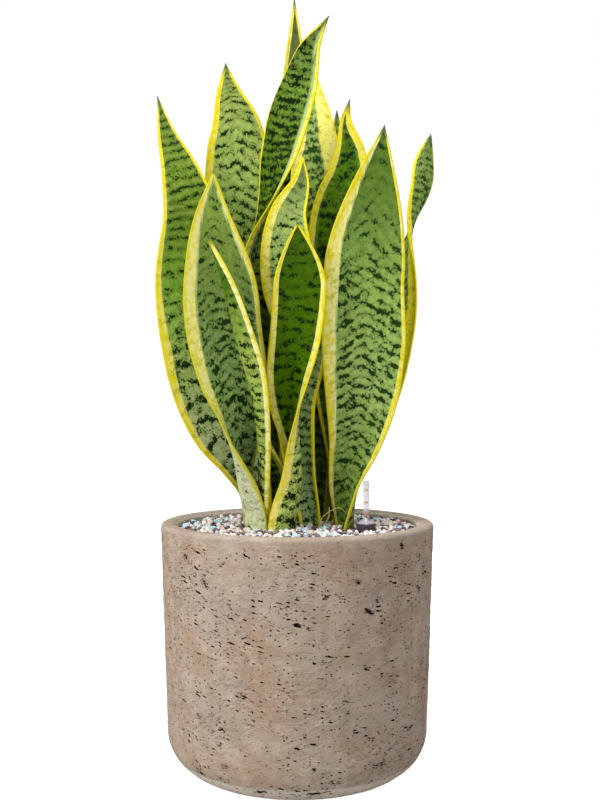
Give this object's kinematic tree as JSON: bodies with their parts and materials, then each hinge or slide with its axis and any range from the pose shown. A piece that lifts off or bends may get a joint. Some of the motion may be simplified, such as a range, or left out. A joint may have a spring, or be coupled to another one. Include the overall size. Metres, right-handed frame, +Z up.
{
  "type": "potted laurentii snake plant",
  "caption": "Upright variegated snake plant, yellow-edged sword leaves banded dark green, in a round fibre-clay planter with mineral granulate and a water-level gauge.",
  "frame": {"origin": "centre of the planter's flat foot, on the surface it stands on", "axes": "+Z up along the planter's axis; -Y towards the side that the picture shows, where the water-level gauge stands; +X to the right seen from there"},
  "size_m": [0.2632, 0.255, 0.748],
  "materials": {
    "fibre_clay": "matte",
    "root_substrate": "matte",
    "mineral_granulate": "matte",
    "rhizome_skin": "satin",
    "leaf_skin": "satin",
    "dark_plastic": "gloss",
    "clear_plastic": "gloss",
    "float_foam": "matte",
    "pointer_plastic": "satin"
  },
  "bodies": {
    "planted_pot": {"planter": "fibre_clay", "rhizome_left": "rhizome_skin", "rhizome_centre": "rhizome_skin", "rhizome_right": "rhizome_skin", "rhizome_back": "rhizome_skin", "root_ball": "root_substrate", "leaf_far_left": "leaf_skin", "leaf_left_back": "leaf_skin", "leaf_tall_back": "leaf_skin", "leaf_tall_front": "leaf_skin", "leaf_back_pale": "leaf_skin", "leaf_right_dark": "leaf_skin", "leaf_back_narrow": "leaf_skin", "leaf_front_right": "leaf_skin", "leaf_far_right": "leaf_skin", "leaf_centre_pale": "leaf_skin", "leaf_front_centre": "leaf_skin", "leaf_front_left": "leaf_skin", "leaf_front_slim": "leaf_skin", "leaf_rear_left": "leaf_skin", "leaf_rear_right": "leaf_skin", "leaf_rear_centre": "leaf_skin", "granulate_layer": "mineral_granulate", "gauge_casing": "dark_plastic", "gauge_window": "clear_plastic"},
    "float": {"gauge_float": "float_foam", "gauge_pointer": "pointer_plastic"}
  },
  "joints": [
    {"name": "float_slide", "type": "slide", "parent": "planted_pot", "child": "float", "axis": [0, 0, 1], "range_m": [0, 0.022]}
  ]
}
